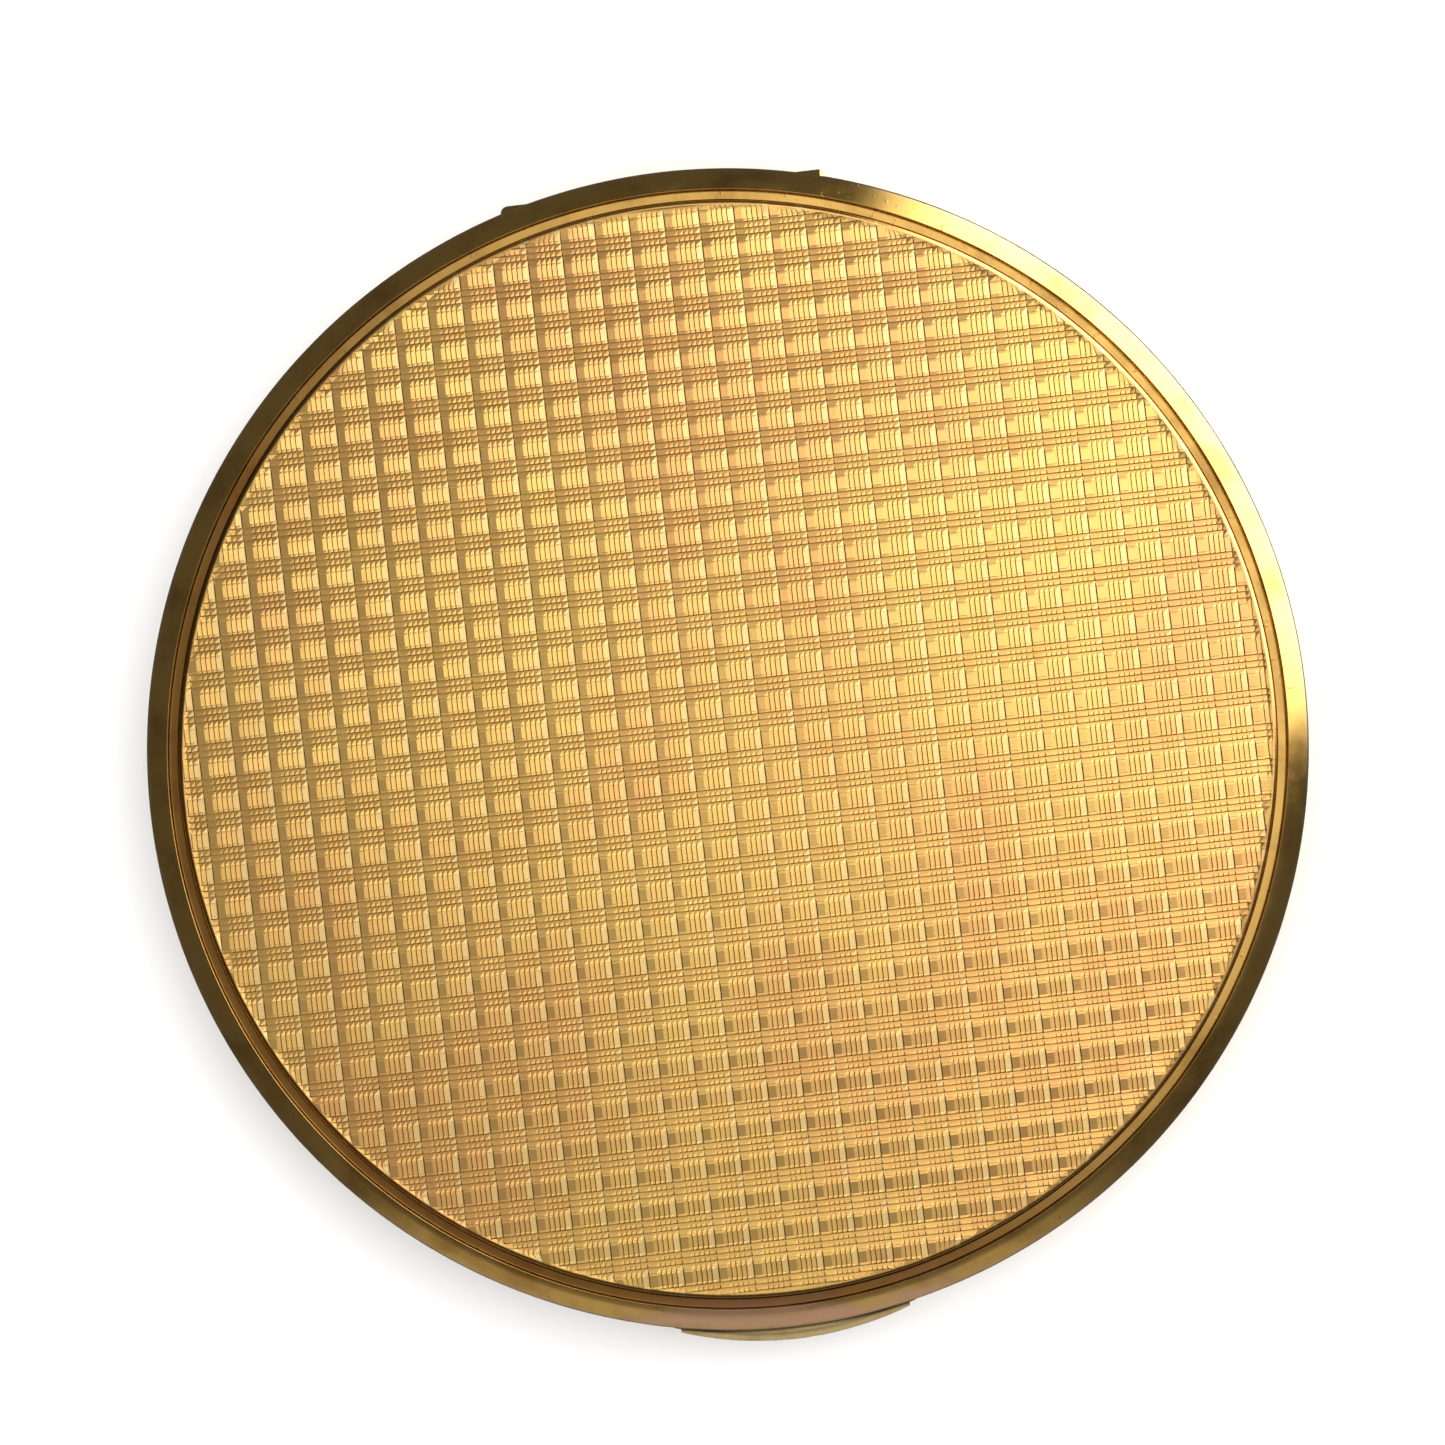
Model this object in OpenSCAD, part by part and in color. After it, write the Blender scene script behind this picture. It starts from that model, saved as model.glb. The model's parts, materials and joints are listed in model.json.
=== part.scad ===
// Round loose-powder compact: a lid with an engine-turned panel and a mirror, hinged on a base that
// holds a powder well with a sifter, a puff and a self-raising inner lid, and closed by a thumb press.
// Millimetres. +Z is up, +Y points to the hinge, -Y to the thumb press, and z = 0 is the resting face.

/* [Case] */
// Outer diameter of the closed case at the lid's rim
case_d = 80; // [76:0.5:84]
// Height of the base, from the resting face to the parting line
base_h = 7; // [6.8:0.1:8]
// Gap between base and lid at the parting line
parting_gap = 0.1; // [0.05:0.05:0.2]
// Height of the lid from the parting line to the top of its rim
lid_h = 6.1; // [6:0.1:7]
// How far the lid's panel rises above its own edge at the centre
dome_h = 0.7; // [0.4:0.1:0.8]
// Sheet thickness of the base
base_wall = 0.6; // [0.5:0.05:0.8]
// Sheet thickness of the lid's side
lid_wall = 0.8; // [0.6:0.05:0.9]
// Radius of the rounded edge at the bottom of the base
base_corner = 5.5; // [3:0.5:5.5]

/* [Rim and panel] */
// Radius of the convex bead along the top of the lid's rim
bead_r = 1.5; // [1:0.1:1.6]
// Radius of the engine-turned panel
panel_r = 37.7; // [35.5:0.1:39.5]
// Width of the groove between panel and rim
groove_w = 0.65; // [0.4:0.05:0.8]
// Sheet thickness of the panel
panel_t = 0.6; // [0.4:0.1:0.7]

/* [Main hinge] */
// Length of the hinge barrel
barrel_l = 22.6; // [20:0.1:24]
// Radius of the hinge barrel
barrel_r = 1.2; // [1:0.05:1.3]
// Radius of the hinge pin
pin_r = 0.55; // [0.4:0.05:0.6]
// Height of the cut-out in each wall at the hinge
hinge_notch = 2.8; // [2.7:0.1:3]

/* [Catch] */
// Width of the thumb press
press_w = 17.6; // [14:0.2:18]
// How far the thumb press stands out from the rim
press_out = 1.3; // [0.9:0.1:1.6]
// How far the thumb press travels
press_travel = 0.8; // [0.6:0.1:0.8]

/* [Powder well and puff] */
// Inner radius of the powder well
well_r = 24.6; // [20:0.2:25]
// Radius of the puff
puff_r = 22.8; // [18:0.2:23]
// Thickness of the puff's pile
puff_t = 2.1; // [1.8:0.1:2.1]

/* [Mirror] */
// Radius of the mirror glass
mirror_r = 34.5; // [30:0.5:34.5]
// Thickness of the mirror glass
mirror_t = 1.5; // [1:0.1:1.5]

/* [Hidden] */
$fn = 96;

touch = 0.05;                 // clearance between parts that slide on each other
r_case = case_d / 2;
r_base = r_case - 0.4;        // the lid's rim stands a little proud of the base
r_base_in = r_base - base_wall;
r_lid_in = r_case - lid_wall;

z_lid = base_h + parting_gap;
z_rim = z_lid + lid_h;
deck_t = 0.6;
z_deck = base_h - 0.6;        // top of the deck
z_deck_under = z_deck - deck_t;
ledge_t = 0.8;                // the lid's ledge carries the panel above and the mirror below
z_ledge = z_rim - 0.8;        // top of the ledge
z_ledge_under = z_ledge - ledge_t;
r_ledge = 35;
r_lip = panel_r + groove_w;   // inner face of the rim's lip
z_panel_edge = z_rim - 0.02;
panel_shoulder = 0.4;

// Main hinge: the axis runs along X where base and lid meet
y_hinge = r_case - 0.65 - barrel_r;   // the barrel's back stays just inside the rim's outline
z_hinge = base_h + parting_gap / 2;
knuckles = 5;
knuckle_gap = 0.1;
knuckle_l = (barrel_l - (knuckles - 1) * knuckle_gap) / knuckles;
run_gap = 0.03;               // radial clearance of a running pin
leaf_t = 0.6;
y_leaf = y_hinge - barrel_r - 0.45;   // inner face of both hinge leaves
notch_w = barrel_l + 0.8;
leaf_w = barrel_l - 1;

// Catch: the slide and its nose, all along Y at the front
slide_t = 0.6;
z_slide = 4.7;
slide_w = 8;
y_slide_front = -(r_case - 1.4);      // back face of the thumb press
y_slide_back = -33.4;
y_bracket_back = -30.5;
press_r = 24;                 // the press is more curved than the case
press_h = 3.95;
z_press = 4.55;
press_round = 0.8;
y_window_back = -36;          // the strike's hook sits under the slide behind this edge
window_l = 2 * press_travel;
window_w = 5;
strike_t = 0.5;
strike_w = 3.2;
y_strike = y_window_back - strike_t - 0.2;
hook_l = strike_t + press_travel; // pressed all the way, the slide clears the hook by 0.2
hook_t = 0.6;
rivet_r = 0.45;
y_rivet_heads = y_slide_front + 0.75;
catch_notch_w = press_w + 0.6;
spring_wire = 0.12;

// Inner lid and its hinge
z_inner_lid = z_deck + 0.1;
inner_lid_t = 0.5;
inner_lid_r = well_r + 2;
inner_rise = 0.7;             // how far the pressed centre of the inner lid stands up
inner_rise_r = well_r - 3;
y_inner_hinge = inner_lid_r + 2.8;
inner_barrel_r = 0.7;
inner_pin_r = 0.35;
z_inner_hinge = z_deck + inner_barrel_r + 0.06;
inner_barrel_l = 12;
inner_knuckle_l = 3;          // length of the middle knuckle
inner_foot = 2;               // width of each foot of the bracket
bracket_t = 0.5;
spring_leg_x = 2.9;

// Sifter and puff
z_sifter = 2.9;
well_t = 0.5;
z_well = base_wall;           // the well stands on the floor of the base
ring_t = 0.4;
gauze_t = 0.15;
z_puff = z_sifter + ring_t + gauze_t + 0.05;
backing_t = 0.25;
ribbon_t = 0.25;
ribbon_w = 10.2;
ribbon_rise = 0.5;            // height of the ribbon's arch above the puff
ribbon_half = puff_r - 3.6;

// Mirror
card_t = 0.4;                 // the card between mirror and lid
ring_wall = 0.9;

function unit(v) = v / norm(v);
function arc(cx, cy, r, from, to, steps) =
  [for (i = [0:steps]) let (a = from + (to - from) * i / steps) [cx + r * cos(a), cy + r * sin(a)]];
function heading(path, i) = unit(path[min(i + 1, len(path) - 1)] - path[max(i - 1, 0)]);
function wire_ring(path, i, across, r, sides) =
  let (t = heading(path, i), u = unit(cross(t, across)), v = cross(t, u))
  [for (k = [0:sides - 1]) path[i] + r * (cos(360 * k / sides) * u + sin(360 * k / sides) * v)];

// A round wire along a path whose heading never lines up with the direction across
module wire(path, across, r, sides = 6) {
  n = len(path);
  points = [for (i = [0:n - 1]) each wire_ring(path, i, across, r, sides)];
  faces = concat(
    [[for (k = [sides - 1:-1:0]) k]],
    [[for (k = [0:sides - 1]) (n - 1) * sides + k]],
    [for (i = [0:n - 2], k = [0:sides - 1])
      [i * sides + k, i * sides + (k + 1) % sides, (i + 1) * sides + (k + 1) % sides,
       (i + 1) * sides + k]]);
  polyhedron(points = points, faces = faces);
}

// A box centred on x = 0, given by its width, its y range and its z range
module slab(w, y0, y1, z0, z1) {
  translate([-w / 2, y0, z0]) cube([w, y1 - y0, z1 - z0]);
}

// Half section of a pan with a rounded lower edge
module pan_section(r, h, corner) {
  square([r - corner, h]);
  translate([0, corner]) square([r, h - corner]);
  intersection() {
    translate([r - corner, corner]) circle(corner);
    square([r, corner]);
  }
}

// A cylinder along X between two x values
module bar_x(x0, x1, r) {
  translate([x0, 0, 0]) rotate([0, 90, 0]) cylinder(r = r, h = x1 - x0);
}

module base_shell() {
  color("darkgoldenrod") difference() {
    rotate_extrude() difference() {
      pan_section(r_base, base_h, base_corner);
      translate([0, base_wall])
        pan_section(r_base_in, base_h, base_corner - base_wall);
      translate([-base_corner * 2, 0]) square([base_corner * 2, base_h]);
    }
    slab(notch_w, r_base_in - 6, r_case + 1, base_h - hinge_notch, base_h + 1);
    slab(catch_notch_w, -r_case - 1, -r_base_in + 2, z_press - 0.15, base_h + 1);
  }
}

module deck_plate() {
  color("goldenrod") difference() {
    translate([0, 0, z_deck_under]) cylinder(r = r_base_in - touch, h = deck_t);
    translate([0, 0, z_deck_under - 1]) cylinder(r = well_r - 0.2, h = deck_t + 2);
    slab(notch_w, y_leaf - 0.1, r_case, z_deck_under - 1, base_h);
    slab(catch_notch_w + 1, -r_case, y_rivet_heads + press_travel + 0.15, z_deck_under - 1, base_h);
    slab(strike_w + 1, -r_case, y_window_back + 1, z_deck_under - 1, base_h);
    spring_slot();
    rivet_places() cylinder(r = 0.5, h = 4, center = true);
  }
}

// Slot in the deck for the leg of the inner lid's spring
module spring_slot() {
  translate([spring_leg_x - 0.4, y_inner_hinge - 6.4, z_deck_under - 1]) cube([0.8, 5.9, deck_t + 2]);
}

module powder_well() {
  color("gold") rotate_extrude() {
    translate([0, z_well]) square([well_r + well_t, well_t]);
    translate([well_r, z_well]) square([well_t, z_deck_under - z_well]);
    translate([well_r, z_deck_under - well_t]) square([2.4, well_t]);
    translate([well_r - 1, z_sifter - well_t]) square([1 + well_t / 2, well_t]);
  }
}

module sifter_ring() {
  color("khaki") rotate_extrude() {
    translate([well_r - 2, z_sifter]) square([2 - touch, ring_t]);
    translate([well_r - 0.6, z_sifter]) square([0.6 - touch, ring_t * 3]);
  }
}

module sifter_gauze() {
  color("ivory") translate([0, 0, z_sifter + ring_t]) cylinder(r = well_r - 0.65, h = gauze_t);
}

module puff_pad() {
  half = puff_t / 2;
  color("bisque") rotate_extrude() {
    translate([0, z_puff]) square([puff_r - half, puff_t]);
    intersection() {
      translate([puff_r - half, z_puff + half]) circle(half);
      translate([0, z_puff]) square([puff_r, puff_t]);
    }
  }
}

module puff_backing() {
  color("lightpink") translate([0, 0, z_puff + puff_t])
    cylinder(r = puff_r - puff_t / 2 - 0.05, h = backing_t);
}

// The ribbon is a shallow arch over the puff, sewn down at both ends
module puff_ribbon() {
  z0 = z_puff + puff_t + backing_t;
  steps = 16;
  top = [for (i = [0:steps]) let (s = 2 * i / steps - 1)
    [ribbon_half * s, z0 + ribbon_t + ribbon_rise * pow(cos(90 * s), 2)]];
  low = [for (i = [steps:-1:0]) let (s = 2 * i / steps - 1)
    [ribbon_half * s, z0 + ribbon_rise * pow(cos(90 * s), 2)]];
  color("hotpink") translate([0, ribbon_w / 2, 0]) rotate([90, 0, 0])
    linear_extrude(ribbon_w) polygon(concat(low, top));
}

// The knuckles with these numbers, counted from -X, bored to a radius
module main_knuckles(numbers, bore) {
  translate([0, y_hinge, z_hinge]) for (i = numbers) {
    x0 = -barrel_l / 2 + i * (knuckle_l + knuckle_gap);
    difference() {
      bar_x(x0, x0 + knuckle_l, barrel_r);
      bar_x(x0 - 1, x0 + knuckle_l + 1, bore);
    }
  }
}

// The straps that join a leaf to its knuckles, from the leaf's edge to the axis
module straps(numbers, z_edge) {
  difference() {
    for (i = numbers) {
      x0 = -barrel_l / 2 + i * (knuckle_l + knuckle_gap);
      translate([max(x0, -leaf_w / 2), y_leaf, min(z_edge, z_hinge)])
        cube([min(x0 + knuckle_l, leaf_w / 2) - max(x0, -leaf_w / 2), barrel_r + 0.45,
              abs(z_edge - z_hinge)]);
    }
    translate([0, y_hinge, z_hinge]) bar_x(-barrel_l, barrel_l, barrel_r - 0.1);
  }
}

module base_hinge_leaf() {
  outer = [0, 2, 4];
  color("peru") {
    main_knuckles(outer, pin_r);
    straps(outer, z_deck_under);
    difference() {
      union() {
        slab(leaf_w, y_leaf, y_leaf + leaf_t, z_hinge - 3.6, z_deck_under);
        slab(leaf_w, y_leaf - 4, y_leaf + leaf_t, z_deck_under - leaf_t, z_deck_under);
      }
      rivet_places() cylinder(r = 0.5, h = 8, center = true);
    }
  }
}

module hinge_pin() {
  color("silver") translate([0, y_hinge, z_hinge]) bar_x(-barrel_l / 2, barrel_l / 2, pin_r);
}

module lid_hinge_leaf() {
  inner = [1, 3];
  z_edge = z_hinge + barrel_r + 0.1;
  color("sandybrown") {
    main_knuckles(inner, pin_r + run_gap);
    straps(inner, z_edge);
    slab(leaf_w, y_leaf, y_leaf + leaf_t, z_edge, z_ledge_under);
    intersection() {
      slab(leaf_w, y_leaf, r_case, z_ledge_under - leaf_t, z_ledge_under);
      translate([0, 0, z_ledge_under - leaf_t]) cylinder(r = r_lid_in - touch, h = leaf_t);
    }
  }
}

// Rivets through the deck: two into the hinge leaf and two into the catch bracket
module rivet_places() {
  for (x = [-7, 7]) translate([x, y_leaf - 2, z_deck_under]) children();
  for (x = [-5.6, 5.6]) translate([x, y_bracket_back + 1.4, z_deck_under]) children();
}

module deck_rivets() {
  color("silver") rivet_places() {
    translate([0, 0, -leaf_t]) cylinder(r = 0.5, h = leaf_t + deck_t);
    translate([0, 0, deck_t]) intersection() {
      translate([0, 0, -0.95]) sphere(r = 1.25);
      cylinder(r = 1, h = 1);
    }
  }
}

module inner_barrel(x0, x1, bore) {
  translate([0, y_inner_hinge, z_inner_hinge]) difference() {
    bar_x(x0, x1, inner_barrel_r);
    bar_x(x0 - 1, x1 + 1, bore);
  }
}

// Two feet with a knuckle each, joined behind the spring by a crossbar
module inner_hinge_bracket() {
  x_in = inner_barrel_l / 2 - inner_foot;
  y_bar = y_inner_hinge + inner_barrel_r + 1.2;
  color("peru") {
    for (x0 = [-x_in - inner_foot, x_in]) {
      inner_barrel(x0, x0 + inner_foot, inner_pin_r);
      difference() {
        translate([x0, y_inner_hinge, z_deck]) cube([inner_foot, y_bar - y_inner_hinge, bracket_t]);
        translate([0, y_inner_hinge, z_inner_hinge])
          bar_x(-inner_barrel_l, inner_barrel_l, inner_barrel_r - 0.1);
      }
    }
    slab(inner_barrel_l, y_bar, y_bar + 1, z_deck, z_deck + bracket_t);
  }
}

module inner_hinge_pin() {
  color("silver") translate([0, y_inner_hinge, z_inner_hinge])
    bar_x(-inner_barrel_l / 2, inner_barrel_l / 2, inner_pin_r);
}

// Torsion spring on the inner pin: one leg lies on the deck, the other pushes the inner lid up
module inner_lid_spring() {
  coil_r = inner_pin_r + spring_wire + 0.1;
  turns = 4;
  steps = 16;
  x0 = spring_leg_x - 0.9;
  start = [[x0, y_inner_hinge + 1.75, z_deck + 0.13], [x0, y_inner_hinge + 1.2, z_deck + 0.13]];
  coil = [for (i = [0:turns * steps + steps / 2]) let (a = -60 + 360 * i / steps)
    [x0 + 0.9 * i / (turns * steps + steps / 2), y_inner_hinge + coil_r * cos(a),
     z_inner_hinge + coil_r * sin(a)]];
  finish = [[spring_leg_x, y_inner_hinge - 1.5, z_deck - 0.1],
            [spring_leg_x, y_inner_hinge - 6, z_deck - 0.12]];
  color("silver") wire(concat(start, coil, finish), [1, 0, 0], spring_wire);
}

module inner_hinge_leaf() {
  half = inner_knuckle_l / 2;
  color("peru") {
    inner_barrel(-half, half, inner_pin_r + run_gap);
    difference() {
      slab(inner_knuckle_l, inner_lid_r - 2.6, y_inner_hinge, z_inner_lid + inner_lid_t,
        z_inner_lid + inner_lid_t + 0.4);
      translate([0, y_inner_hinge, z_inner_hinge])
        bar_x(-inner_knuckle_l, inner_knuckle_l, inner_barrel_r - 0.1);
    }
  }
}

module inner_lid() {
  color("gold") rotate_extrude() {
    translate([inner_rise_r, z_inner_lid]) square([inner_lid_r - inner_rise_r, inner_lid_t]);
    translate([inner_rise_r - 0.6, z_inner_lid]) square([0.6, inner_lid_t + inner_rise]);
    translate([0, z_inner_lid + inner_rise]) square([inner_rise_r, inner_lid_t]);
  }
}

module inner_lid_tab() {
  color("darkgoldenrod") intersection() {
    translate([0, 0, z_inner_lid + inner_lid_t]) cylinder(r = inner_lid_r + 1.2, h = 0.5);
    translate([0, -inner_lid_r + 0.4, z_inner_lid]) cylinder(r = 2.4, h = 3);
  }
}

module catch_bracket() {
  rail_w = 0.7;
  lip = 0.8;
  x_in = slide_w / 2 + touch;
  y0 = y_window_back - 0.4;
  y1 = y_bracket_back + 0.6;
  z_low = z_slide - touch - 0.5;
  color("peru") difference() {
    union() {
      for (side = [-1, 1]) {
        translate([side * (x_in + rail_w / 2) - rail_w / 2, y0, z_low])
          cube([rail_w, y1 - y0, z_deck_under - z_low]);
        translate([side * (x_in - lip / 2) - lip / 2, y0, z_low]) cube([lip, y1 - y0, 0.5]);
        translate([side * (x_in + 1.4) - 1.4, y_bracket_back - 0.4, z_deck_under - leaf_t])
          cube([2.8, 3.4, leaf_t]);
      }
      slab(2 * x_in, y_bracket_back, y1, z_low, z_deck_under);
    }
    rivet_places() cylinder(r = 0.5, h = 8, center = true);
  }
}

module return_spring() {
  turns = 5;
  steps = 14;
  coil_r = 0.4;
  pad = spring_wire + 0.02;
  length = y_bracket_back - y_slide_back - 2 * pad;
  path = [for (i = [0:turns * steps]) let (a = 360 * i / steps)
    [coil_r * cos(a), y_slide_back + pad + length * i / (turns * steps),
     z_slide + slide_t / 2 + coil_r * sin(a)]];
  color("silver") wire(path, [0, 1, 0], spring_wire);
}

// A crescent outside the wall: flat at the back, rounded along its outer edges and at its ends
module thumb_press() {
  y_centre = -(r_case + press_out) + press_r;
  z1 = z_press + press_h;
  color("olive") difference() {
    intersection() {
      translate([0, y_centre, 0]) rotate([0, 0, -120]) rotate_extrude(angle = 60) {
        translate([press_r - 5, z_press]) square([5 - press_round, press_h]);
        translate([press_r - 5, z_press + press_round]) square([5, press_h - 2 * press_round]);
        for (z = [z_press + press_round, z1 - press_round])
          translate([press_r - press_round, z]) circle(press_round);
      }
      union() {
        slab(press_w - 2 * press_round, -r_case - 3, y_slide_front, z_press - 1, z1 + 1);
        for (side = [-1, 1]) {
          translate([side * (press_w / 2 - press_round), y_slide_front - 0.2, z_press - 1])
            cylinder(r = press_round, h = press_h + 2);
        }
      }
      slab(press_w + 2, -r_case - 3, y_slide_front, z_press - 1, z1 + 1);
    }
    latch_rivet_places() translate([0, 0.01, 0]) rotate([90, 0, 0]) cylinder(r = rivet_r, h = 0.81);
  }
}

module latch_rivet_places() {
  for (x = [-4.8, 4.8]) translate([x, y_slide_front, z_slide + 1.25]) children();
}

module latch_slide() {
  flange_w = 13;
  flange_h = 2.4;
  color("silver") difference() {
    union() {
      slab(slide_w, y_slide_front, y_slide_back, z_slide, z_slide + slide_t);
      slab(flange_w, y_slide_front, y_slide_front + 0.5, z_slide, z_slide + flange_h);
    }
    slab(window_w, y_window_back - window_l, y_window_back, z_slide - 1, z_slide + slide_t + 1);
    latch_rivet_places() rotate([90, 0, 0]) cylinder(r = rivet_r, h = 4, center = true);
  }
}

module latch_rivets() {
  color("silver") latch_rivet_places() {
    translate([0, 0.5, 0]) rotate([90, 0, 0]) cylinder(r = rivet_r, h = 1.3);
    translate([0, 0.75, 0]) rotate([90, 0, 0]) cylinder(r = 0.8, h = 0.25);
  }
}

module lid_frame() {
  color("darkgoldenrod") difference() {
    rotate_extrude() {
      translate([r_lid_in, z_lid]) square([lid_wall, z_ledge_under - z_lid]);
      translate([r_ledge, z_ledge_under]) square([r_case - r_ledge - bead_r, ledge_t]);
      translate([r_lip, z_ledge]) square([r_case - r_lip - bead_r, z_rim - z_ledge]);
      translate([r_case - bead_r - 0.1, z_ledge_under])
        square([bead_r + 0.1, z_rim - bead_r - z_ledge_under]);
      intersection() {
        translate([r_case - bead_r, z_rim - bead_r]) circle(bead_r);
        translate([r_lip, z_rim - bead_r]) square([r_case - r_lip, bead_r]);
      }
    }
    slab(notch_w, r_lid_in - 6, r_case + 1, z_lid - 1, z_lid + hinge_notch);
    slab(catch_notch_w, -r_case - 1, -r_lid_in + 2, z_lid - 1, z_press + press_h + 0.15);
  }
}

// The panel is a shallow dome with a rounded shoulder that stands on the lid's ledge
module lid_panel() {
  r_top = panel_r - panel_shoulder;
  steps = 12;
  function dome(r) = z_panel_edge + dome_h * (1 - pow(r / r_top, 2));
  top = [for (i = [0:steps]) let (r = r_top * (1 - i / steps)) [r, dome(r)]];
  under = [for (i = [0:steps]) let (r = (r_ledge - 0.5) * i / steps) [r, dome(r) - panel_t]];
  color("gold") rotate_extrude() polygon(concat(
    [[panel_r, z_ledge]],
    arc(r_top, z_panel_edge - panel_shoulder, panel_shoulder, 0, 75, 4),
    top, under, [[r_ledge + 0.5, z_ledge]]));
}

// A spring-steel tongue that hangs from the lid and hooks under the slide
module lid_strike() {
  z_hook = z_slide - 0.2 - hook_t;
  color("silver") {
    slab(strike_w, y_strike, y_strike + strike_t, z_hook, z_ledge_under);
    slab(strike_w, y_strike, y_strike + hook_l, z_hook, z_hook + hook_t);
    slab(strike_w * 2, -r_lid_in + 0.3, y_strike + strike_t, z_ledge_under - 0.5, z_ledge_under);
  }
}

module mirror_backing() {
  color("dimgray") translate([0, 0, z_ledge_under - card_t]) cylinder(r = mirror_r - touch, h = card_t);
}

module mirror_glass() {
  color("lightcyan") translate([0, 0, z_ledge_under - card_t - mirror_t])
    cylinder(r = mirror_r - touch, h = mirror_t);
}

module mirror_ring() {
  lip_t = 0.5;
  z0 = z_ledge_under - card_t - mirror_t - lip_t;
  color("gold") rotate_extrude() {
    translate([mirror_r - 1.6, z0]) square([1.6 + ring_wall, lip_t]);
    translate([mirror_r, z0]) square([ring_wall, z_ledge_under - z0]);
  }
}

base_shell();
deck_plate();
powder_well();
sifter_ring();
sifter_gauze();
puff_pad();
puff_backing();
puff_ribbon();
base_hinge_leaf();
hinge_pin();
inner_hinge_bracket();
inner_hinge_pin();
inner_lid_spring();
catch_bracket();
return_spring();
deck_rivets();
thumb_press();
latch_slide();
latch_rivets();
lid_frame();
lid_panel();
lid_hinge_leaf();
lid_strike();
mirror_backing();
mirror_glass();
mirror_ring();
inner_lid();
inner_hinge_leaf();
inner_lid_tab();
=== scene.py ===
import json
import math

import bmesh
import bpy
import numpy as np
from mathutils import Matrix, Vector


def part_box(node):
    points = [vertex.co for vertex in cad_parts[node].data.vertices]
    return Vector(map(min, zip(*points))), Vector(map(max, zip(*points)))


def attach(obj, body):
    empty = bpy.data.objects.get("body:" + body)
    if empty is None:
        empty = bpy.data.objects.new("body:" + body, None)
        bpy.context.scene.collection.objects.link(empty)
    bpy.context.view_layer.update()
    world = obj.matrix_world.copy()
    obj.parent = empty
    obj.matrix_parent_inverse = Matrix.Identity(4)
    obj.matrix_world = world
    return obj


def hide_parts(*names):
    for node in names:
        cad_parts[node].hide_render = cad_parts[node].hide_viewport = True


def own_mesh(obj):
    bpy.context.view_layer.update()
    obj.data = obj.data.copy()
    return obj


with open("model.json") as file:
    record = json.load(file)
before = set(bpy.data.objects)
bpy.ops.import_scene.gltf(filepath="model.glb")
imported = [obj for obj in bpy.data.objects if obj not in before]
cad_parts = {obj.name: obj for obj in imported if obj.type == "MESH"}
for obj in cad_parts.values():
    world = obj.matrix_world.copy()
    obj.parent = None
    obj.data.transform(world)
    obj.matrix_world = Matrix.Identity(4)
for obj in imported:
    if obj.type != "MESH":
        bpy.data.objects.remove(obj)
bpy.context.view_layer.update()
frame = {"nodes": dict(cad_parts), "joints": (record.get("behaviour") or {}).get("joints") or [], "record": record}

MM = 0.001
TURN = math.radians(-6.8)      # the object lies turned a little in the view

# ---------------------------------------------------------------- sizes read from the frame


def lo(node):
    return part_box(node)[0]


def hi(node):
    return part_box(node)[1]


R_CASE = hi("lid_frame").x
Z_LID = lo("lid_frame").z
Z_RIM = hi("lid_frame").z
LID_WALL = 0.8 * MM
R_PANEL = hi("lid_panel").x
Z_LEDGE = lo("lid_panel").z
Z_DOME = hi("lid_panel").z
R_BASE = hi("base_shell").x
X_NOTCH = (lo("base_hinge_leaf").x - 0.4 * MM, hi("base_hinge_leaf").x + 0.4 * MM)
Z_BASE = hi("base_shell").z
Y_HINGE, Z_HINGE = frame["joints"][0]["pos_m"][1:]
BARREL_R = hi("base_hinge_leaf").y - Y_HINGE
NOTCH_DEPTH = 2.8 * MM         # the hinge notch, up into the lid and down into the base
Y_NOTCH = (33 * MM, 42 * MM)   # the same notch, from inside the wall to outside it
X_PRESS = (-9.1 * MM, 9.1 * MM)   # the notch for the thumb press
Y_OUTSIDE = -42 * MM           # beyond the front, where that notch opens
PRESS_GAP = 0.15 * MM          # between the thumb press and its notch, above and below
R_GRIME_AND_SHADE = 38.30 * MM           # inside this radius, the rim's dirt and painted shade are at their darkest
GRIME_AND_SHADE_FADE = 0.12 * MM         # and they end this far outside it
PANEL_SHADE_RADII = (37.20 * MM, 37.5 * MM)   # radii where the painted shade round the panel's edge begins and is at its darkest

# ---------------------------------------------------------------- mesh helpers


def mesh_object(name, points, faces, body, slot, replaced=()):
    """A piece made from points and faces, riding on a body and standing for CAD nodes."""
    mesh = bpy.data.meshes.new(name)
    mesh.from_pydata([tuple(map(float, p)) for p in points], [], faces)
    mesh.validate()
    piece = bpy.data.objects.new(name, mesh)
    bpy.context.scene.collection.objects.link(piece)
    return settle(piece, body, slot, replaced)


def settle(piece, body, slot, replaced=()):
    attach(piece, body)
    if replaced:
        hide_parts(*replaced)
    return piece


def smooth(piece, angle=32, weighted=True):
    """Shades smooth, keeping edges sharper than the angle crisp."""
    bm = bmesh.new()
    bm.from_mesh(piece.data)
    bmesh.ops.remove_doubles(bm, verts=bm.verts, dist=1e-7)
    bmesh.ops.recalc_face_normals(bm, faces=bm.faces)
    for face in bm.faces:
        face.smooth = True
    for edge in bm.edges:
        edge.smooth = len(edge.link_faces) != 2 or edge.calc_face_angle(0) < math.radians(angle)
    bm.to_mesh(piece.data)
    bm.free()
    if weighted:
        mod = piece.modifiers.new("even_normals", "WEIGHTED_NORMAL")
        mod.keep_sharp = True
        mod.weight = 100


def apply_modifiers(piece):
    graph = bpy.context.evaluated_depsgraph_get()
    made = bpy.data.meshes.new_from_object(piece.evaluated_get(graph))
    piece.modifiers.clear()
    piece.data = made


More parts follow.
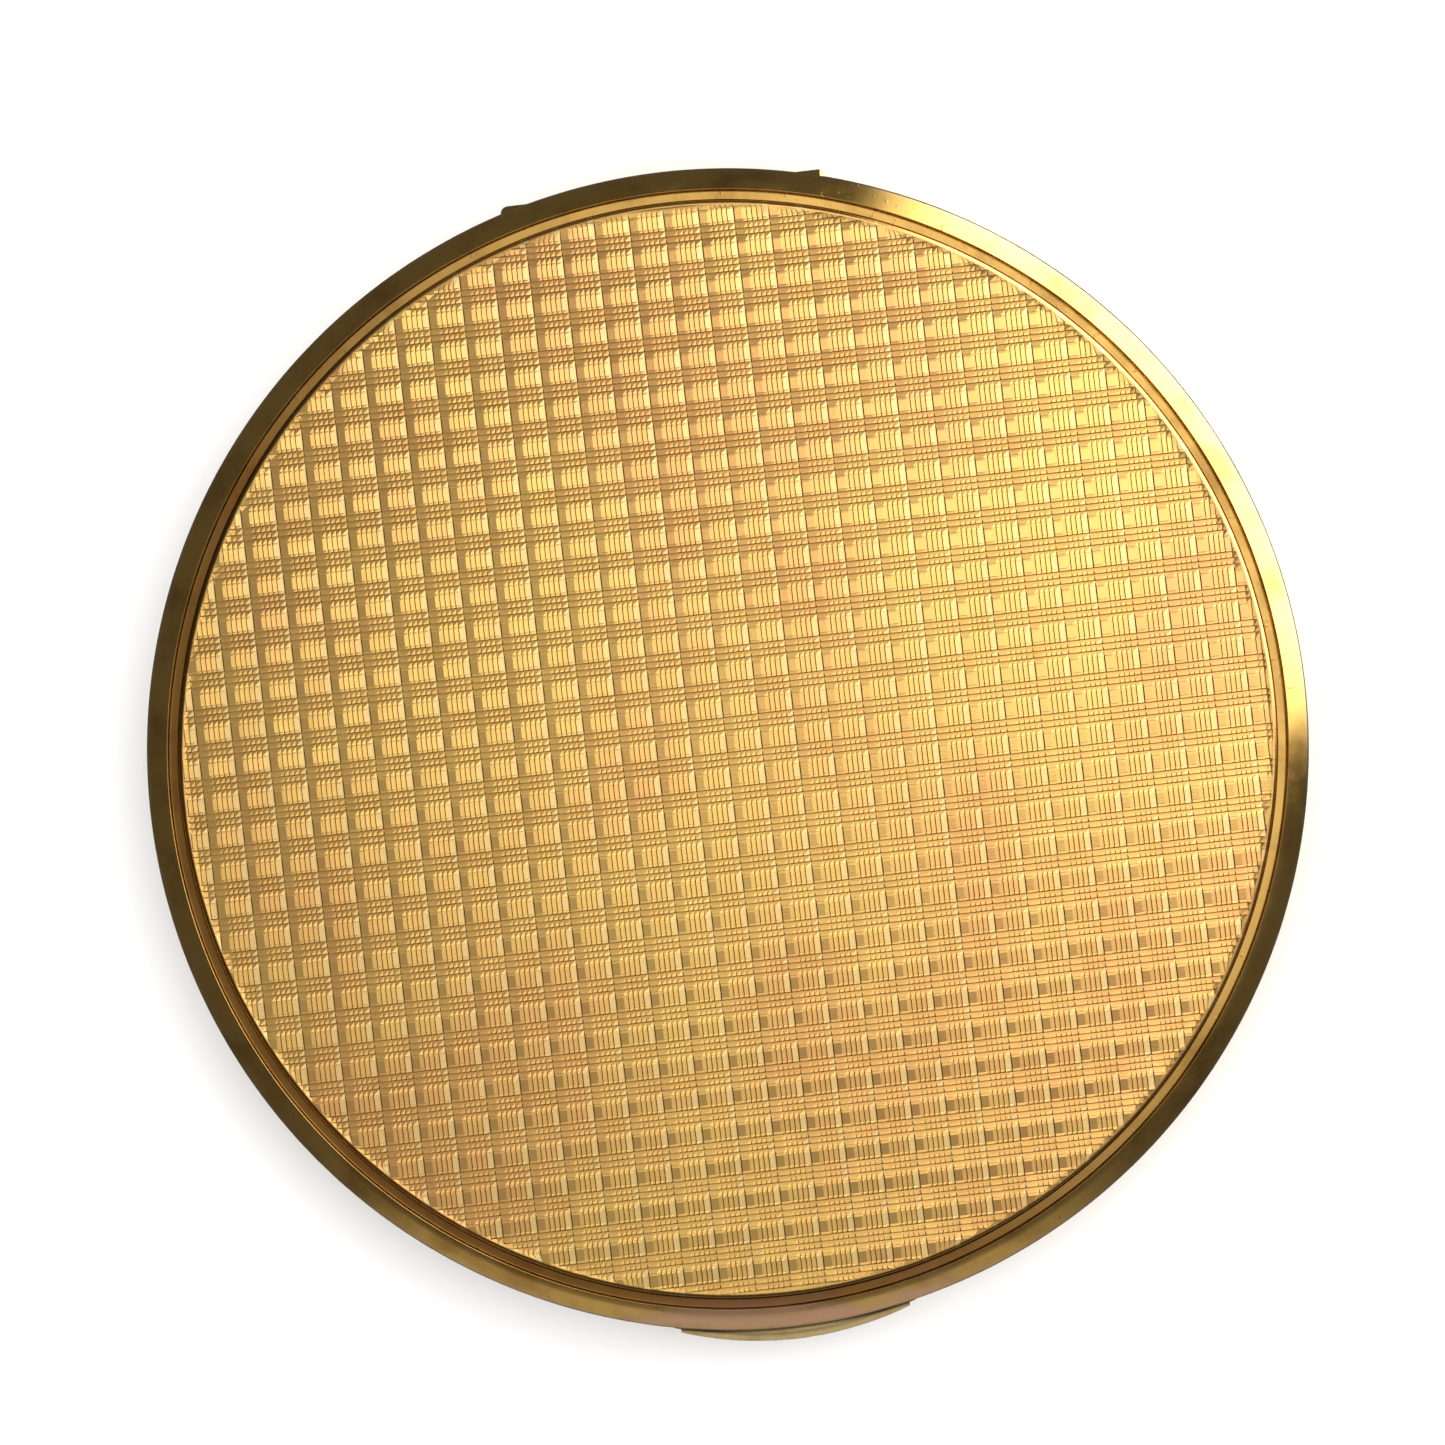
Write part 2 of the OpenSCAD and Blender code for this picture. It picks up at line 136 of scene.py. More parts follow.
def rounded(corners, steps=4):
    """A closed outline from corners (x, y, radius), with each radius as an arc."""
    outline = []
    count = len(corners)
    for i, (x, y, radius) in enumerate(corners):
        here = Vector((x, y))
        before = Vector(corners[i - 1][:2]) - here
        after = Vector(corners[(i + 1) % count][:2]) - here
        if radius <= 0:
            outline.append((x, y))
            continue
        half = before.angle(after) / 2
        reach = radius / math.tan(half)
        start = here + before.normalized() * reach
        end = here + after.normalized() * reach
        centre = here + (before.normalized() + after.normalized()).normalized() * radius / math.sin(half)
        a0 = math.atan2(*(start - centre).yx)
        turn = (math.atan2(*(end - centre).yx) - a0 + math.pi) % (2 * math.pi) - math.pi
        for k in range(steps + 1):
            a = a0 + turn * k / steps
            outline.append((centre.x + radius * math.cos(a), centre.y + radius * math.sin(a)))
    return outline


def lathe(name, outline, body, slot, replaced, segments=288):
    """Turns a closed outline of (radius, z) round the Z axis."""
    angles = np.arange(segments) * 2 * math.pi / segments
    points, rings = [], []
    for r, z in outline:
        if r < 1e-7:
            rings.append([len(points)] * segments)
            points.append((0, 0, z))
        else:
            rings.append(list(range(len(points), len(points) + segments)))
            points += [(r * math.cos(a), r * math.sin(a), z) for a in angles]
    faces = []
    for a, b in zip(rings, rings[1:] + rings[:1]):
        for i in range(segments):
            j = (i + 1) % segments
            face = list(dict.fromkeys((a[i], a[j], b[j], b[i])))
            if len(face) > 2:
                faces.append(face)
    return mesh_object(name, points, faces, body, slot, replaced)


def break_edges(piece, width, angle):
    """Bevels every edge that is sharper than the angle."""
    mod = piece.modifiers.new("edges", "BEVEL")
    mod.limit_method = "ANGLE"
    mod.angle_limit = math.radians(angle)
    mod.width = width
    mod.segments = 2
    apply_modifiers(piece)


def cut_boxes(piece, boxes):
    """Cuts boxes (x0, x1, y0, y1, z0, z1) out of a piece, then breaks its sharp edges."""
    for x0, x1, y0, y1, z0, z1 in boxes:
        bm = bmesh.new()
        bmesh.ops.create_cube(bm, size=1)
        for v in bm.verts:
            v.co = Vector((x0 if v.co.x < 0 else x1, y0 if v.co.y < 0 else y1, z0 if v.co.z < 0 else z1))
        mesh = bpy.data.meshes.new("cutter")
        bm.to_mesh(mesh)
        bm.free()
        cutter = bpy.data.objects.new("cutter", mesh)
        bpy.context.scene.collection.objects.link(cutter)
        mod = piece.modifiers.new("cut", "BOOLEAN")
        mod.operation = "DIFFERENCE"
        mod.solver = "EXACT"
        mod.object = cutter
        apply_modifiers(piece)
        bpy.data.objects.remove(cutter)
    break_edges(piece, 0.07 * MM, 40)


# ---------------------------------------------------------------- materials


class Nodes:
    """Short calls for a node tree's nodes."""

    def __init__(self, tree):
        self.tree = tree

    def node(self, kind, inputs=None, **settings):
        made = self.tree.nodes.new(kind)
        for key, value in settings.items():
            setattr(made, key, value)
        for key, value in (inputs or {}).items():
            if isinstance(value, bpy.types.NodeSocket):
                self.tree.links.new(value, made.inputs[key])
            else:
                made.inputs[key].default_value = value
        return made

    def remap(self, value, low, high, to_low=0.0, to_high=1.0):
        return self.node("ShaderNodeMapRange", {
            "Value": value, "From Min": low, "From Max": high, "To Min": to_low, "To Max": to_high},
            interpolation_type="SMOOTHSTEP").outputs["Result"]

    def mix(self, fac, a, b):
        mixed = self.node("ShaderNodeMix", {"Factor": fac}, data_type="RGBA")
        for key, value in (("A", a), ("B", b)):
            socket = [s for s in mixed.inputs if s.name == key and s.type == "RGBA"][0]
            if isinstance(value, bpy.types.NodeSocket):
                self.tree.links.new(value, socket)
            else:
                socket.default_value = (*value, 1)
        return [s for s in mixed.outputs if s.type == "RGBA"][0]

    def math(self, operation, a, b=0.0):
        return self.node("ShaderNodeMath", {0: a, 1: b}, operation=operation).outputs[0]


class Shader(Nodes):
    """A material with a Principled surface."""

    def __init__(self, name, **constants):
        self.material = bpy.data.materials.new(name)
        self.material.use_nodes = True
        super().__init__(self.material.node_tree)
        self.surface = self.tree.nodes["Principled BSDF"]
        for socket, value in constants.items():
            self.surface.inputs[socket.replace("_", " ")].default_value = value
        self.place = self.node("ShaderNodeTexCoord").outputs["Object"]

    def noise(self, scale, detail=3, rough=0.55, stretch=(1, 1, 1), place=None):
        mapped = self.node("ShaderNodeMapping", {"Vector": place or self.place, "Scale": stretch})
        return self.node("ShaderNodeTexNoise", {
            "Vector": mapped.outputs[0], "Scale": scale, "Detail": detail, "Roughness": rough}).outputs["Fac"]

    def bump(self, height, distance, strength=1.0, normal=None):
        inputs = {"Height": height, "Distance": distance, "Strength": strength}
        if normal:
            inputs["Normal"] = normal
        return self.node("ShaderNodeBump", inputs).outputs[0]

    def set(self, **links):
        for socket, value in links.items():
            self.tree.links.new(value, self.surface.inputs[socket.replace("_", " ")])
        return self.material

    def polar(self):
        """Coordinates (angle, radius, z) round the Z axis, for turned pieces."""
        parts = self.node("ShaderNodeSeparateXYZ", {0: self.place}).outputs
        angle = self.math("ARCTAN2", parts[1], parts[0])
        square = self.math("ADD", self.math("MULTIPLY", parts[0], parts[0]),
                           self.math("MULTIPLY", parts[1], parts[1]))
        radius = self.math("SQRT", square)
        return self.node("ShaderNodeCombineXYZ", {
            0: self.math("MULTIPLY", angle, 0.02), 1: radius, 2: parts[2]}).outputs[0]

    def radius(self):
        """Distance from the Z axis."""
        return self.node("ShaderNodeSeparateXYZ", {0: self.polar()}).outputs[1]

    def lower_left(self):
        """From 0 at the lid's upper right to 1 at its lower left, where the painted shade is darkest."""
        x, y = self.node("ShaderNodeSeparateXYZ", {0: self.place}).outputs[:2]
        return self.remap(self.math("ADD", x, self.math("MULTIPLY", y, 0.7)), 22 * MM, -22 * MM)

    def polish(self, low, high):
        """Roughness that wanders between two values from place to place."""
        return self.remap(self.noise(420, 4), 0.3, 0.75, low, high)

    def hairlines(self):
        """Extra roughness along fine scratches."""
        scratches = self.noise(2600, 4, 0.75, (0.12, 1.6, 1.0))
        return self.math("MULTIPLY", self.remap(scratches, 0.62, 0.70), 0.10)

    def dents(self, strength):
        """The normal of a surface with shallow dents."""
        return self.bump(self.noise(240, 3, 0.5), 0.02 * MM, strength)


GOLD = (0.95, 0.66, 0.22)
TARNISH = (0.42, 0.24, 0.07)
RIM_TARNISH = (0.40, 0.22, 0.06)
BARE_COPPER = (1.0, 0.66, 0.46)
# dark brown for the dirt and painted shade in the rim's groove, and for the painted shade round the panel's edge
GRIME_AND_SHADE = (0.16, 0.07, 0.02)
# near black for the dirt and painted shade where the thumb press meets the case
PRESS_GRIME_AND_SHADE = (0.07, 0.03, 0.01)


def gold_plate():
    """Gold plate with blotches of tarnish, small scratches and uneven polish."""
    s = Shader("gold_plate", Metallic=1.0)
    blotch = s.remap(s.noise(160, 5, 0.6), 0.42, 0.72)
    speck = s.remap(s.noise(1400, 3, 0.7), 0.60, 0.78)
    tarnish = s.math("MULTIPLY", s.math("MAXIMUM", blotch, s.math("MULTIPLY", speck, 0.6)), 0.16)
    base = s.mix(tarnish, GOLD, TARNISH)
    roughness = s.math("ADD", s.polish(0.16, 0.26), s.hairlines())
    normal = s.bump(s.noise(900, 2, 0.5, (0.3, 4, 4)), 0.004 * MM, 0.5, s.dents(0.075))
    return s.set(Base_Color=base, Roughness=roughness, Normal=normal)


def rim_gold():
    """The rolled rim, with dirt and painted shade in its groove (the shade growing towards the lower left) and the
    plating worn to copper in front.
    """
    s = Shader("rim_gold", Metallic=1.0)
    x, y = s.node("ShaderNodeSeparateXYZ", {0: s.place}).outputs[:2]
    blotch = s.remap(s.noise(160, 5, 0.6), 0.42, 0.72)
    speck = s.remap(s.noise(1400, 3, 0.7), 0.60, 0.76)
    tarnish = s.math("MULTIPLY", s.math("MAXIMUM", blotch, s.math("MULTIPLY", speck, 0.7)), 0.70)
    base = s.mix(tarnish, GOLD, RIM_TARNISH)
    front = s.math("MULTIPLY", s.remap(y, -36 * MM, -38.5 * MM),
                   s.remap(s.math("ABSOLUTE", x), 13 * MM, 8 * MM))
    worn = s.math("MULTIPLY", front, s.remap(s.noise(420, 5, 0.65, (0.3, 1, 1)), 0.38, 0.54))
    base = s.mix(worn, base, BARE_COPPER)
    # Dark mask in the groove: dirt all round, plus painted shade that grows towards the lower left.
    groove = s.remap(s.radius(), R_GRIME_AND_SHADE + GRIME_AND_SHADE_FADE, R_GRIME_AND_SHADE)
    grime_shade_mask = s.math("MULTIPLY", groove, s.math("ADD", s.math("MULTIPLY", s.lower_left(), 0.62), 0.22))
    base = s.mix(grime_shade_mask, base, GRIME_AND_SHADE)
    rough = s.math("ADD", s.polish(0.09, 0.20), s.hairlines())
    rough = s.math("ADD", rough, s.math("MULTIPLY", s.math("MAXIMUM", grime_shade_mask, worn), 0.22))
    turned = s.noise(900, 2, 0.5, (0.05, 6, 6), s.polar())
    lines = s.bump(turned, 0.004 * MM, 0.7, s.dents(0.40))
    return s.set(Base_Color=base, Roughness=rough, Normal=s.bump(speck, 0.01 * MM, 0.5, lines))


def engraved_gold():
    """The cut panel: a painted highlight on the broad cuts, painted shade at the bottom of the cuts (stronger in
    random patches), and painted shade round its edge, darkest at the lower left.
    """
    s = Shader("engine_turned_gold", Metallic=1.0)
    depth = s.node("ShaderNodeAttribute", attribute_name="cut_depth").outputs["Fac"]
    broad = s.node("ShaderNodeAttribute", attribute_name="broad_cut").outputs["Fac"]
    yellow, brown = (0.89, 0.63, 0.22), (0.80, 0.43, 0.20)
    bottom, painted_highlight = (0.60, 0.34, 0.11), (1.0, 0.82, 0.42)
    warm = s.remap(s.noise(55, 4, 0.6), 0.40, 0.66)
    tone = s.mix(s.math("MULTIPLY", warm, 0.55), yellow, brown)
    patches = s.remap(s.noise(300, 4, 0.6), 0.30, 0.70, 0.20, 0.65)
    # painted shade in the bottoms of the cuts, stronger in random patches
    base = s.mix(s.math("MULTIPLY", s.remap(depth, 0.35, 1.0), patches), tone, bottom)
    # painted highlight: the broad cuts are given a paler, lighter gold
    base = s.mix(s.math("MULTIPLY", broad, 0.65), base, painted_highlight)
    # painted shade round the panel's edge, darkest at the lower left and absent at the upper right
    edge = s.remap(s.radius(), *PANEL_SHADE_RADII)
    base = s.mix(s.math("MULTIPLY", edge, s.math("MULTIPLY", s.lower_left(), 0.75)), base, GRIME_AND_SHADE)
    facets = s.remap(s.noise(500, 4), 0.3, 0.75, 0.23, 0.35)
    roughness = s.math("ADD", facets, s.math("MULTIPLY", broad, 0.06))
    polished = s.remap(depth, 0.0, 0.08, 0.35, 1.0)
    roughness = s.math("MULTIPLY", roughness, polished)
    normal = s.bump(s.noise(5200, 2, 0.6), 0.006 * MM, 0.5)
    return s.set(Base_Color=base, Roughness=roughness, Normal=normal)


def worn_brass():
    """The thumb press: rubbed brass, with dirt and painted shade where it meets the case."""
    s = Shader("worn_brass", Metallic=0.88)
    tone = s.mix(s.remap(s.noise(260, 4, 0.6), 0.40, 0.66), (0.93, 0.76, 0.40), (0.62, 0.46, 0.20))
    # dirt and painted shade in the joint between the press and the case
    grime_shade_mask = s.remap(s.radius(), 40.62 * MM, 40.40 * MM)
    base = s.mix(s.math("MULTIPLY", grime_shade_mask, 0.9), tone, PRESS_GRIME_AND_SHADE)
    normal = s.bump(s.noise(900, 3), 0.01 * MM, 0.7)
    return s.set(Base_Color=base, Roughness=s.polish(0.24, 0.42), Normal=normal)


def steel():
    s = Shader("spring_steel", Metallic=1.0)
    tone = s.mix(s.remap(s.noise(500, 4), 0.35, 0.7), (0.62, 0.61, 0.58), (0.42, 0.40, 0.37))
    roughness = s.remap(s.noise(900, 3), 0.3, 0.7, 0.22, 0.42)
    return s.set(Base_Color=tone, Roughness=roughness, Normal=s.bump(s.noise(3000, 2), 0.004 * MM, 0.6))


def mirror():
    """Silvered glass, a little foxed towards its edge."""
    s = Shader("silvered_glass", Metallic=1.0)
    edge = s.remap(s.radius(), 26 * MM, 34.5 * MM)
    spots = s.math("MULTIPLY", s.remap(s.noise(900, 4, 0.7), 0.62, 0.72), edge)
    base = s.mix(s.math("MULTIPLY", spots, 0.75), (0.93, 0.95, 0.94), (0.25, 0.20, 0.15))
    roughness = s.math("ADD", s.math("MULTIPLY", spots, 0.3), s.remap(s.noise(120, 3), 0.4, 0.8, 0.015, 0.05))
    return s.set(Base_Color=base, Roughness=roughness)


def fabric(name, colour, shade, scale, sheen, thread=(1, 1, 1), bump=0.05):
    """Cloth with a fine pile or weave."""
    s = Shader(name, Roughness=0.9, Sheen_Weight=sheen, Sheen_Roughness=0.5)
    tone = s.mix(s.remap(s.noise(180, 4), 0.35, 0.7), colour, shade)
    weave = s.noise(scale, 3, 0.7, thread)
    tone = s.mix(s.math("MULTIPLY", s.remap(weave, 0.45, 0.75), 0.35), tone, shade)
    return s.set(Base_Color=tone, Normal=s.bump(weave, bump * MM, 0.9))


def card():
    s = Shader("card", Roughness=0.85)
    tone = s.mix(s.remap(s.noise(1500, 5, 0.7), 0.35, 0.7), (0.33, 0.30, 0.27), (0.24, 0.21, 0.18))
    return s.set(Base_Color=tone, Normal=s.bump(s.noise(2500, 4), 0.02 * MM, 0.6))


MATERIALS = {
    "gold_plate": gold_plate(),
    "rim_gold": rim_gold(),
    "engine_turned_gold": engraved_gold(),
    "worn_brass": worn_brass(),
    "spring_steel": steel(),
    "mirror": mirror(),
    "card": card(),
    "gauze": fabric("gauze", (0.80, 0.74, 0.62), (0.62, 0.55, 0.42), 6000, 0.2),
    "puff_pile": fabric("puff_pile", (0.90, 0.70, 0.58), (0.80, 0.56, 0.44), 2600, 0.8, bump=0.12),
    "satin": fabric("satin", (0.86, 0.52, 0.50), (0.74, 0.38, 0.38), 5000, 0.5, (1, 8, 1)),
}


def paint(piece, slot):
    piece.data.materials.clear()
    piece.data.materials.append(MATERIALS[slot])


# ---------------------------------------------------------------- the engine-turned panel

PITCH = 2.395 * MM                 # one cell of the pattern, both ways
FALL = 0.82                        # share of a cut that slopes gently down to its bottom


def cut_profile(flat, cuts):
    """One cell of a cutting pass: (places, heights), from a flat and then cuts (width, depth, crest)."""
    places, heights = [0.0, flat], [0.0, 0.0]
    at = flat
    for width, depth, crest in cuts:
        places += [at + width * FALL, at + width]
        heights += [-depth, -crest]
        at += width
    return np.array(places[:-1]), np.array(heights[:-1])


# widths of the cuts, as shares of a cell
DEEP, BROAD, SHALLOW, TALL = 0.146, 0.206, 0.075, 0.18
BROAD_FROM = 1 - BROAD
FIRST_CUT = (DEEP, 0.034 * MM, 0)
NARROW_CUT = (DEEP, 0.046 * MM, 0)
BROAD_CUT = (BROAD, 0.052 * MM, 0)
SHALLOW_CUT = (SHALLOW, 0.026 * MM, 0)
TALL_CUT = (TALL, 0.072 * MM, 0.016 * MM)
LAST_TALL_CUT = (TALL, 0.072 * MM, 0)
ACROSS = cut_profile(0.21, [FIRST_CUT, NARROW_CUT, NARROW_CUT, NARROW_CUT, BROAD_CUT])
ALONG = cut_profile(0.31, [SHALLOW_CUT, TALL_CUT, TALL_CUT, LAST_TALL_CUT, SHALLOW_CUT])
DARK_DEPTH = 0.055 * MM            # a cut this deep has its full painted shade


def pass_lines(profile, reach):
    """The lines of one cutting pass over the whole panel: places and heights."""
    cells = int(math.ceil(reach / PITCH)) + 1
    places = np.concatenate([(c + profile[0]) * PITCH for c in range(-cells, cells)])
    heights = np.tile(profile[1], 2 * cells)
    inside = np.abs(places) < reach + PITCH * 0.4
    return places[inside], heights[inside]


def engine_turned_panel():
    """The domed panel with both cutting passes as real geometry, and a plain shoulder and underside."""
    shoulder, fade_width = 0.4 * MM, 0.25 * MM
    r_cut = R_PANEL - shoulder
    rise = Z_DOME - Z_RIM + 0.02 * MM
    z_edge = Z_DOME - rise

    def dome(r):
        return z_edge + rise * (1 - (r / r_cut) ** 2)

    xs, across = pass_lines(ACROSS, r_cut)
    ys, along = pass_lines(ALONG, r_cut)
    grid_x, grid_y = np.meshgrid(xs, ys, indexing="ij")
    cut = np.minimum(across[:, None], along[None, :])
    radius = np.hypot(grid_x, grid_y)
    # Keep the cells that reach inside the circle, and pull their outer corners onto it.
    corner = radius < r_cut
    keep = corner[:-1, :-1] | corner[1:, :-1] | corner[:-1, 1:] | corner[1:, 1:]
    pull = np.where(radius > r_cut, r_cut / np.maximum(radius, 1e-9), 1.0)
    x, y = grid_x * pull, grid_y * pull
    from_axis = np.hypot(x, y)
    fade = np.clip((r_cut - from_axis) / fade_width, 0, 1)
    z = dome(from_axis) + cut * fade
    number = np.arange(x.size).reshape(x.shape)
    i, j = np.nonzero(keep)
    a, b, c, d = number[i, j], number[i + 1, j], number[i + 1, j + 1], number[i, j + 1]
    depth = cut.ravel()
    first = np.abs(depth[a] - depth[c]) >= np.abs(depth[b] - depth[d])
    tri1 = np.where(first[:, None], np.stack([a, b, c], 1), np.stack([a, b, d], 1))
    tri2 = np.where(first[:, None], np.stack([a, c, d], 1), np.stack([b, c, d], 1))
    faces = np.concatenate([tri1, tri2])
    points = np.stack([x.ravel(), y.ravel(), z.ravel()], 1)
    middle = points[faces].mean(1)
    phase = middle[:, 0] / PITCH % 1
    cut_across = np.interp(middle[:, 0], xs, across) < np.interp(middle[:, 1], ys, along)
    broad = (phase > BROAD_FROM) & (phase < BROAD_FROM + BROAD * FALL) & cut_across
    used, index = np.unique(faces, return_inverse=True)
    faces = index.reshape(-1, 3)
    points, depth = points[used], depth[used]
    bm = bmesh.new()
    layer = bm.verts.layers.float.new("cut_depth")
    # marks the faces of the broad cuts, which the panel's material gives a painted highlight
    painted_highlight = bm.faces.layers.float.new("broad_cut")
    verts = [bm.verts.new(p) for p in points]
    for v, h in zip(verts, depth):
        v[layer] = min(1.0, -h / DARK_DEPTH)
    for f, is_broad in zip(faces, broad):
        if len(set(f)) == 3:
            bm.faces.new([verts[k] for k in f])[painted_highlight] = float(is_broad)
    bmesh.ops.remove_doubles(bm, verts=bm.verts, dist=2e-6)
    bmesh.ops.dissolve_degenerate(bm, dist=1e-7, edges=bm.edges)
    engraved = set(bm.faces)
    # Carry the edge over a rounded shoulder and down to the ledge, then close it underneath.
    loop = [e for e in bm.edges if e.is_boundary]
    steps = [(r_cut + shoulder * math.sin(t), z_edge - shoulder * (1 - math.cos(t)))
             for t in np.radians([15, 30, 45, 60, 75, 90])]
    nick, seat, sheet = 0.05 * MM, 2.2 * MM, 0.6 * MM
    steps += [(R_PANEL, Z_LEDGE + nick), (R_PANEL - nick, Z_LEDGE), (R_PANEL - seat, Z_LEDGE)]
    steps += [(R_PANEL * k, dome(R_PANEL * k) - sheet) for k in (0.9, 0.6, 0.3)]
    for r, z in steps:
        made = bmesh.ops.extrude_edge_only(bm, edges=loop)["geom"]
        loop = [g for g in made if isinstance(g, bmesh.types.BMEdge)]
        for v in [g for g in made if isinstance(g, bmesh.types.BMVert)]:
            flat = Vector((v.co.x, v.co.y)).normalized() * r
            v.co = Vector((flat.x, flat.y, z))
            v[layer] = 0.0
    bmesh.ops.holes_fill(bm, edges=loop, sides=0)
    bmesh.ops.recalc_face_normals(bm, faces=bm.faces)
    for face in bm.faces:
        face.smooth = face not in engraved
    mesh = bpy.data.meshes.new("engine_turned_panel")
    bm.to_mesh(mesh)
    bm.free()
    piece = bpy.data.objects.new("engine_turned_panel", mesh)
    bpy.context.scene.collection.objects.link(piece)
    settle(piece, "lid_body", "engine_turned_gold", ["lid_panel"])
    paint(piece, "engine_turned_gold")


# ---------------------------------------------------------------- the case


def lid_rim():
    """The lid's side, its wide round bead and the ledge that the panel sits on."""
    bead = 2.28 * MM
    lip = R_PANEL + 0.65 * MM
    shoulder = Z_RIM - (R_CASE - lip) * math.tan(math.radians(17))
    inner = R_CASE - LID_WALL
    r_ledge, z_under, y_inside = 35.0 * MM, Z_LEDGE - 0.8 * MM, -36 * MM
    outline = rounded([
        (inner, Z_LID, 0.12 * MM), (R_CASE - 0.02 * MM, Z_LID, 0.22 * MM), (R_CASE, shoulder, bead),
        (lip, Z_RIM, 0.03 * MM), (lip, Z_LEDGE, 0.12 * MM), (r_ledge, Z_LEDGE, 0.1 * MM),
        (r_ledge, z_under, 0.1 * MM), (inner, z_under, 0.2 * MM)], 8)
    piece = lathe("lid_rim", outline, "lid_body", "rim_gold", ["lid_frame"], 384)
    cut_boxes(piece, [
        (*X_NOTCH, *Y_NOTCH, Z_LID - MM, Z_LID + NOTCH_DEPTH),
        (*X_PRESS, Y_OUTSIDE, y_inside, Z_LID - MM, hi("thumb_press").z + PRESS_GAP)])
    smooth(piece)
    paint(piece, "rim_gold")


def base_pan():
    """The pressed pan with its rounded lower edge."""
    corner, wall, y_inside = 5.5 * MM, 0.6 * MM, -37 * MM
    outline = rounded([
        (0, 0, 0), (R_BASE, 0, corner), (R_BASE, Z_BASE, 0.2 * MM),
        (R_BASE - wall, Z_BASE, 0.2 * MM), (R_BASE - wall, wall, corner - wall), (0, wall, 0)], 12)
    piece = lathe("base_pan", outline, "base_body", "gold_plate", ["base_shell"], 384)
    cut_boxes(piece, [
        (*X_NOTCH, *Y_NOTCH, Z_BASE - NOTCH_DEPTH, Z_BASE + MM),
        (*X_PRESS, Y_OUTSIDE, y_inside, lo("thumb_press").z - PRESS_GAP, Z_BASE + MM)])
    smooth(piece)
    paint(piece, "gold_plate")


# each CAD node's material slot, and the body that it is part of
SLOTS = {row["node"]: row["material_slot"] for row in frame["record"]["subparts"]}
BODY = {node: body for body, nodes in frame["record"]["behaviour"]["bodies"].items() for node in nodes}


def clean_copy(node):
    """A copy of a CAD node's mesh, ready to edit, without the edges inside its flat faces."""
    bm = bmesh.new()
    bm.from_mesh(frame["nodes"][node].data)
    bmesh.ops.remove_doubles(bm, verts=bm.verts, dist=1e-6)
    bmesh.ops.dissolve_limit(bm, angle_limit=math.radians(0.6), verts=bm.verts, edges=bm.edges)
    return bm


def finish_copy(bm, node, name, bevel):
    """Makes a piece from an edited copy, with its edges broken and its round faces shaded smooth."""
    mesh = frame["nodes"][node].data.copy()
    bm.to_mesh(mesh)
    bm.free()
    piece = bpy.data.objects.new(name, mesh)
    bpy.context.scene.collection.objects.link(piece)
    break_edges(piece, bevel, 35)
    settle(piece, BODY[node], SLOTS[node], [node])
    smooth(piece)
    paint(piece, SLOTS[node])


# CAD nodes that are only softened: node, name of the piece, width of its broken edges in millimetres
SOFTENED = [
    ("deck_plate", "deck", 0.12), ("powder_well", "powder_pan", 0.10), ("sifter_ring", "sifter_hoop", 0.10),
    ("lid_hinge_leaf", "lid_leaf", 0.06),
    ("inner_hinge_bracket", "inner_bracket", 0.05), ("inner_hinge_leaf", "inner_leaf", 0.05),
    ("hinge_pin", "main_pin", 0.12), ("inner_hinge_pin", "inner_pin", 0.08),
    ("inner_lid_tab", "finger_tab", 0.15), ("catch_bracket", "catch_rails", 0.05),
    ("latch_slide", "latch_plate", 0.05), ("latch_rivets", "press_rivets", 0.06),
    ("deck_rivets", "rivets", 0.05), ("lid_strike", "strike_tongue", 0.06),
    ("mirror_ring", "mirror_frame", 0.16), ("mirror_backing", "mirror_card", 0.05),
    ("mirror_glass", "mirror_plate", 0.20), ("thumb_press", "press", 0.10),
]


def inner_cover():
    """The inner lid: a flat rim, a raised centre and two rings pressed into it."""
    low, r_out = lo("inner_lid").z, hi("inner_lid").x
    top, sheet = hi("inner_lid").z, 0.5 * MM
    r_rise = r_out - 5 * MM
    line, dent = 0.5 * MM, 0.14 * MM
    outline = [(0, top - sheet, 0), (r_rise - 0.6 * MM, top - sheet, 0.2 * MM),
               (r_rise - 0.6 * MM, low, 0.15 * MM), (r_out, low, 0.2 * MM),
               (r_out, low + sheet, 0.22 * MM), (r_rise, low + sheet, 0.15 * MM), (r_rise, top, 0.45 * MM)]
    for r in (0.86 * r_rise, 0.78 * r_rise):
        outline += [(r + line, top, 0.12 * MM), (r, top - dent, 0.12 * MM), (r - line, top, 0.12 * MM)]
    outline.append((0, top, 0))
    piece = lathe("inner_cover", rounded(outline), "inner_lid_body", SLOTS["inner_lid"], ["inner_lid"])
    smooth(piece)
    paint(piece, SLOTS["inner_lid"])


def hinge_leaf(node, name):
    """A hinge leaf whose outermost knuckles have rounded ends, the low-X one the more worn."""
    bm = clean_copy(node)

    def on_barrel(co):
        return abs(math.hypot(co.y - Y_HINGE, co.z - Z_HINGE) - BARREL_R) < 2e-5

    for end, radius in ((lo(node).x, 1.05 * MM), (hi(node).x, 0.30 * MM)):
        rim = [e for e in bm.edges if all(abs(v.co.x - end) < 1e-6 and on_barrel(v.co) for v in e.verts)]
        bmesh.ops.bevel(bm, geom=rim, offset=radius, segments=6, profile=0.5, affect="EDGES",
                        clamp_overlap=True)
    finish_copy(bm, node, name, 0.05 * MM)


